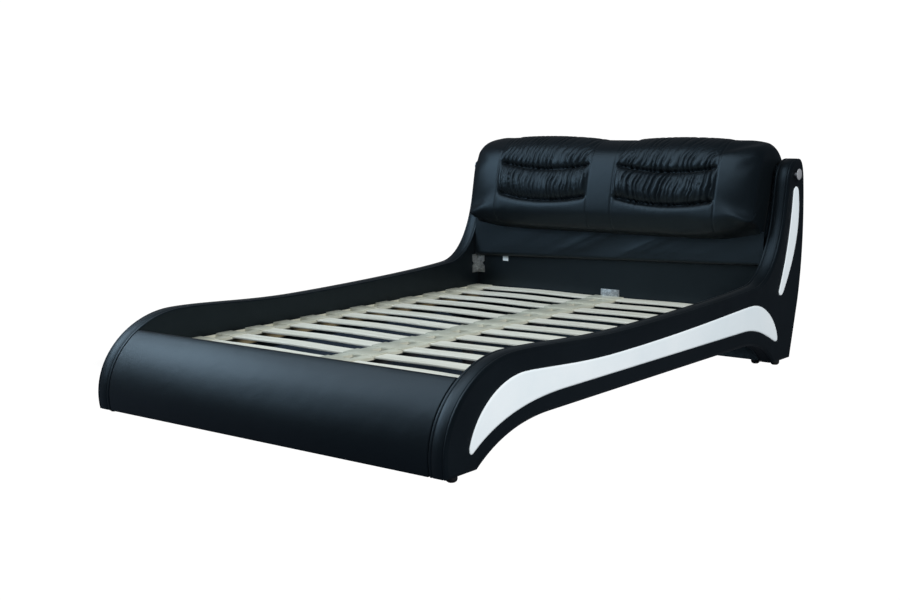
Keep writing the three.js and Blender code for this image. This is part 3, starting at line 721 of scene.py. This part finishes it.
def pleats(seed, low, high, tight, wide):
    """Irregular fold lines between two x values: their places and their depths."""
    rng = np.random.default_rng(seed)
    places, depths = [low], []
    while places[-1] < high:
        places.append(places[-1] + tight + (wide - tight) * rng.uniform(0, 1) ** 1.4)
        depths.append(rng.uniform(0.25, 1.0))
    return np.array(places), np.array(depths)


def pleat_height(x, folds):
    """0 along the crown of a fold, falling to minus its depth in the crease."""
    places, depths = folds
    i = np.clip(np.searchsorted(places, x) - 1, 0, len(depths) - 1)
    t = np.clip((x - places[i]) / (places[i + 1] - places[i]), 0, 1)
    return depths[i] * ((4 * t * (1 - t)) ** 0.65 - 1)


corner_count = len(pad.data.vertices)
kept = {}
for label in REST_LABELS:
    values = np.zeros(corner_count, np.float32)
    pad.data.attributes[label].data.foreach_get("value", values)
    kept[label] = values
    pad.data.attributes.remove(pad.data.attributes[label])
co = np.zeros(corner_count * 3, np.float32)
pad.data.vertices.foreach_get("co", co)
co = co.reshape(-1, 3)
x, z, ny, nz = kept["rest_x"], kept["rest_z"], kept["rest_ny"], kept["rest_nz"]
u = (x - np.copysign(HEADREST_MIDDLE, x)) / HEADREST_HALF
ease = np.clip((1.01 - np.abs(u)) / 0.14, 0, 1)
inside = ease * ease * (3 - 2 * ease) * (ny < 0.35) * (kept["rest_back"] < 0.3)
height = np.zeros(corner_count)
ROLL_FOLD, BAND_FOLD, SKIRT_FOLD, BAND_SWELL = 0.0240, 0.0185, 0.0120, 0.017
for way, seed in ((1, 11), (-1, 23)):
    mine = inside * (np.sign(x) == way)
    low, high = sorted((way * 0.050, way * 0.602))
    lean = x * (1 + 0.20 * (0.77 - z)) - 1.5 * np.clip(z - 0.76, 0, 1) ** 2
    lean += 0.008 * np.sin(z * 27 + seed + 9 * x) + 0.002 * np.sin(z * 83 + x * 40)
    roll = pleat_height(lean, pleats(seed, low, high, 0.016, 0.046))
    band_top = pleat_height(lean, pleats(seed + 1, low, high, 0.013, 0.040))
    band_low = pleat_height(lean, pleats(seed + 2, low, high, 0.013, 0.040))
    skirt = pleat_height(x, pleats(seed + 3, low, high, 0.014, 0.040))
    upper = upper_seam(u) + 0.0040 * (roll - band_top)
    lower = lower_seam(u) + 0.0040 * (band_low - skirt)
    over, below = np.clip(z - upper, 0, 1), np.clip(lower - z, 0, 1)
    reach = 0.150 + 0.070 * np.sin(x * 37 + seed)
    fading = 0.50 * np.exp(-over / 0.028) + 0.50 * np.exp(-(over / reach) ** 2)
    height += mine * (z >= upper) * ROLL_FOLD * roll * fading
    part = np.clip((z - lower) / (upper - lower), 0, 1)
    folds = band_top * (0.25 + 0.75 * part ** 1.3) + band_low * (0.25 + 0.75 * (1 - part) ** 1.3)
    band = BAND_FOLD * folds + BAND_SWELL * np.sin(np.pi * part ** 0.85)
    height += mine * (z < upper) * (z > lower) * band
    height += mine * (z <= lower) * SKIRT_FOLD * skirt * np.exp(-below / 0.012)
    for line in (upper, lower):
        away = z - line
        height -= mine * (0.018 * np.exp(-(away / 0.0060) ** 2) + 0.008 * np.exp(-(away / 0.018) ** 2))
along_side = np.abs(np.abs(u) - 1) * HEADREST_HALF
height -= (ny < 0.2) * (z > 0.535) * 0.0030 * np.exp(-(along_side / 0.0034) ** 2)
co[:, 1] += ny * height
co[:, 2] += nz * height
pad.data.vertices.foreach_set("co", co.ravel())
bpy.ops.object.shade_smooth()
pad.data.materials.append(black_leatherette("pad_leatherette", 0.9))
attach(pad, "bed")
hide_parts("headboard_pad", "headrest_right", "headrest_left")


# ---------------------------------------------------------------- slats
# Thirteen rows of bowed birch plywood slats in two halves, sanded round along
# their edges. Each half row is pushed into a plastic holder at both ends.

wood, given, made = make_group(
    "wood_grain", {"Rate X": 3.0, "Rate Y": 90.0, "Rate Z": 90.0}, ("Height", "Tone", "Polish")
)
place = add_node(wood, "ShaderNodeTexCoord")
split = add_node(wood, "ShaderNodeSeparateXYZ")
merge = add_node(wood, "ShaderNodeCombineXYZ")
join(wood, (place.outputs["Object"], split.inputs[0]))
for axis in "XYZ":
    times = add_node(wood, "ShaderNodeMath", operation="MULTIPLY")
    join(
        wood,
        (split.outputs[axis], times.inputs[0]),
        (given.outputs["Rate " + axis], times.inputs[1]),
        (times.outputs[0], merge.inputs[axis]),
    )
streaks = add_node(wood, "ShaderNodeTexNoise", {"Scale": 1.0, "Detail": 6.0, "Distortion": 0.3})
bands = add_node(wood, "ShaderNodeTexNoise", {"Scale": 0.22, "Detail": 2.0})
join(wood, (merge.outputs[0], streaks.inputs["Vector"]), (merge.outputs[0], bands.inputs["Vector"]))
mixed = weigh(wood, (streaks.outputs["Fac"], 0.6), (bands.outputs["Fac"], 0.4))
join(
    wood,
    (streaks.outputs["Fac"], made.inputs["Height"]),
    (mixed, made.inputs["Tone"]),
    (bands.outputs["Fac"], made.inputs["Polish"]),
)

SLAT_INNER, SLAT_OUTER = 0.034, 0.7267
SLAT_LOW, SLAT_HIGH, SLAT_WIDE = 0.224, 0.232, 0.075
SLAT_GRIP, HALF_BOW, SLAT_PARTS = 0.06, 0.0015, 24
slat_boxes = [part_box(name) for name in nodes if name.startswith("slat_") and name[5:7].isdigit()]
SLAT_ROWS = sorted({round((low.y + high.y) / 2, 5) for low, high in slat_boxes}, reverse=True)
birch = finish_material(
    "birch_ply", wood, {"Rate X": 3.0, "Rate Y": 95.0, "Rate Z": 95.0},
    ((0.68, 0.66, 0.55), (0.93, 0.92, 0.82)), (0.45, 0.60), 0.0003, {"Specular IOR Level": 0.35},
)
deselect()
slat_middle = ((SLAT_INNER + SLAT_OUTER) / 2, 0, (SLAT_LOW + SLAT_HIGH) / 2)
bpy.ops.mesh.primitive_cube_add(size=1, location=slat_middle)
pattern_slat = bpy.context.object
pattern_slat.name = "pattern_slat"
pattern_slat.scale = (SLAT_OUTER - SLAT_INNER, SLAT_WIDE, SLAT_HIGH - SLAT_LOW)
bpy.ops.object.transform_apply(location=True, rotation=True, scale=True)
bpy.ops.object.mode_set(mode="EDIT")
for step in range(1, SLAT_PARTS):
    bpy.ops.mesh.select_all(action="SELECT")
    cut_x = SLAT_INNER + (SLAT_OUTER - SLAT_INNER) * step / SLAT_PARTS
    bpy.ops.mesh.bisect(plane_co=(cut_x, 0, 0), plane_no=(1, 0, 0))
pick("EDGE", lambda a, b: abs(a.y - b.y) < 1e-6 and abs(a.z - b.z) < 1e-6)
bpy.ops.mesh.bevel(offset=0.0016, segments=2, profile=0.5)
leave_edit(pattern_slat, 30)
for face in pattern_slat.data.polygons:
    face.use_smooth = face.area < 0.0002
reach = SLAT_OUTER - SLAT_INNER - 2 * SLAT_GRIP
for corner in pattern_slat.data.vertices:
    t = min(1, max(0, (corner.co.x - SLAT_INNER - SLAT_GRIP) / reach))
    corner.co.z += HALF_BOW * (1 - math.cos(2 * math.pi * t))
for number, y in enumerate(SLAT_ROWS, 1):
    for side, way in SIDES.items():
        slat = pattern_slat.copy()
        slat.data = pattern_slat.data.copy()
        slat.name = f"slat_{number:02d}_ply_{side}"
        bpy.context.scene.collection.objects.link(slat)
        for corner in slat.data.vertices:
            corner.co.x *= way
            corner.co.y += y
        if way < 0:
            slat.data.flip_normals()
        slat.data.materials.append(birch)
        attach(slat, "bed")
        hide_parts(f"slat_{number:02d}_{side}")
bpy.data.objects.remove(pattern_slat)


# ---------------------------------------------------------------- slat holders
# Three moulded strips of off-white plastic, one at each side and one down the
# middle, with a cap over every slat end and a window between the caps.

moulded, given, made = make_group("moulded", {"Mottle": 1.0}, ("Height", "Tone", "Polish"))
place = add_node(moulded, "ShaderNodeTexCoord")
speck = add_node(moulded, "ShaderNodeTexNoise", {"Scale": 420.0, "Detail": 2.0})
cloud = add_node(moulded, "ShaderNodeTexNoise", {"Scale": 16.0, "Detail": 4.0})
join(
    moulded,
    (place.outputs["Object"], speck.inputs["Vector"]),
    (place.outputs["Object"], cloud.inputs["Vector"]),
    (
        weigh(moulded, (speck.outputs["Fac"], 0.3), (cloud.outputs["Fac"], given.outputs["Mottle"])),
        made.inputs["Height"],
    ),
    (cloud.outputs["Fac"], made.inputs["Tone"]),
    (speck.outputs["Fac"], made.inputs["Polish"]),
)
holder_plastic = finish_material(
    "holder_plastic", moulded, {"Mottle": 0.4},
    ((0.47, 0.47, 0.38), (0.60, 0.60, 0.50)), (0.38, 0.50), 0.0002, {"Specular IOR Level": 0.45},
)


def smoothed_copy(node, name, bevel, angle=35):
    """A copy of a CAD node with its doubles merged and its edges rounded."""
    deselect()
    piece = nodes[node].copy()
    piece.data = nodes[node].data.copy()
    piece.name = name
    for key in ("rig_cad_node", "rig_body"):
        if key in piece:
            del piece[key]
    piece.parent = None
    bpy.context.scene.collection.objects.link(piece)
    bpy.context.view_layer.objects.active = piece
    piece.select_set(True)
    piece.data.materials.clear()
    bpy.ops.object.mode_set(mode="EDIT")
    bpy.ops.mesh.select_all(action="SELECT")
    bpy.ops.mesh.remove_doubles(threshold=0.00001)
    bpy.ops.object.mode_set(mode="OBJECT")
    rounded = piece.modifiers.new("edges", "BEVEL")
    rounded.width = bevel
    rounded.segments = 2
    rounded.limit_method = "ANGLE"
    rounded.angle_limit = math.radians(40)
    bpy.ops.object.modifier_apply(modifier="edges")
    bpy.ops.object.shade_smooth_by_angle(angle=math.radians(angle))
    return piece


for node in ("slat_holder_right", "slat_holder_left", "slat_holder_centre"):
    holder = smoothed_copy(node, node + "_moulding", 0.0008)
    holder.data.materials.append(holder_plastic)
    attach(holder, "bed")
    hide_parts(node)


# ---------------------------------------------------------------- frame parts
# Softwood ledgers on the panels carry the side holders. A square steel tube with
# an adjustable leg carries the centre one; pressed zinc brackets join the boards.

# Partly painted shade: the softwood is coloured darker than bare softwood, so the ledger tops read dark
# through the holder windows.
softwood = finish_material(
    "softwood", wood, {"Rate X": 40.0, "Rate Y": 2.0, "Rate Z": 40.0},
    ((0.19, 0.15, 0.08), (0.31, 0.25, 0.15)), (0.55, 0.75), 0.0005, {"Specular IOR Level": 0.3},
)
steel_paint = finish_material(
    "black_steel", moulded, {"Mottle": 0.5},
    ((0.012, 0.012, 0.013), (0.022, 0.022, 0.024)), (0.35, 0.5), 0.0003, {"Specular IOR Level": 0.5},
)
spangle, given, made = make_group("zinc_spangle", {"Size": 120.0}, ("Height", "Tone", "Polish"))
place = add_node(spangle, "ShaderNodeTexCoord")
flakes = add_node(spangle, "ShaderNodeTexVoronoi", feature="F1")
grit = add_node(spangle, "ShaderNodeTexNoise", {"Scale": 300.0, "Detail": 3.0})
join(
    spangle,
    (place.outputs["Object"], flakes.inputs["Vector"]),
    (place.outputs["Object"], grit.inputs["Vector"]),
    (given.outputs["Size"], flakes.inputs["Scale"]),
    (grit.outputs["Fac"], made.inputs["Height"]),
    (weigh(spangle, (flakes.outputs["Color"], 0.8), (grit.outputs["Fac"], 0.2)), made.inputs["Tone"]),
    (flakes.outputs["Color"], made.inputs["Polish"]),
)
zinc = finish_material(
    "zinc_steel", spangle, {"Size": 140.0},
    ((0.42, 0.44, 0.45), (0.66, 0.68, 0.69)), (0.28, 0.48), 0.0002, {"Metallic": 0.9},
)
black_plastic = finish_material(
    "black_plastic", moulded, {"Mottle": 0.4},
    ((0.010, 0.010, 0.011), (0.020, 0.020, 0.021)), (0.35, 0.48), 0.0003, {"Specular IOR Level": 0.5},
)
chrome = finish_material(
    "chrome", moulded, {"Mottle": 0.2},
    ((0.62, 0.63, 0.65), (0.72, 0.73, 0.75)), (0.24, 0.34), 0.00005, {"Metallic": 0.6},
)
lining = finish_material(
    "lining_cloth", moulded, {"Mottle": 1.0},
    ((0.010, 0.010, 0.011), (0.020, 0.020, 0.022)), (0.8, 0.95), 0.0006, {"Specular IOR Level": 0.2},
)
for node, material, bevel in (
    ("ledger_right", softwood, 0.0015), ("ledger_left", softwood, 0.0015),
    ("centre_beam", steel_paint, 0.0010), ("centre_leg", steel_paint, 0.0008),
    ("corner_bracket_head_right", zinc, 0.0006), ("corner_bracket_head_left", zinc, 0.0006),
    ("corner_bracket_foot_right", zinc, 0.0006), ("corner_bracket_foot_left", zinc, 0.0006),
    ("beam_bracket_head", zinc, 0.0006), ("beam_bracket_foot", zinc, 0.0006),
    ("glide_foot_right", black_plastic, 0.0015), ("glide_foot_left", black_plastic, 0.0015),
    ("glide_head_right", black_plastic, 0.0015), ("glide_head_left", black_plastic, 0.0015),
    ("glide_headboard_right", black_plastic, 0.0015), ("glide_headboard_left", black_plastic, 0.0015),
    ("headboard_back", lining, 0.0010), ("centre_leg_foot", black_plastic, 0.0010),
    ("wing_knob_right", chrome, 0.0020), ("wing_knob_left", chrome, 0.0020),
):
    fitting = smoothed_copy(node, node + "_finished", bevel)
    fitting.data.materials.append(material)
    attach(fitting, "levelling_foot" if node == "centre_leg_foot" else "bed")
    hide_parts(node)


# ---------------------------------------------------------------- sewn label
# A small blank white label of woven tape, sewn to the lower headboard cover.

deselect()
bpy.ops.mesh.primitive_cube_add(size=1, location=(-0.605, BOARD_FACE - 0.0012, 0.376))
label = bpy.context.object
label.name = "sewn_label"
label.scale = (0.032, 0.0012, 0.030)
bpy.ops.object.transform_apply(location=True, rotation=True, scale=True)
bpy.ops.object.mode_set(mode="EDIT")
bpy.ops.mesh.select_all(action="SELECT")
bpy.ops.mesh.bevel(offset=0.0004, segments=2)
bpy.ops.object.mode_set(mode="OBJECT")
label.data.materials.append(white_cover)
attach(label, "bed")
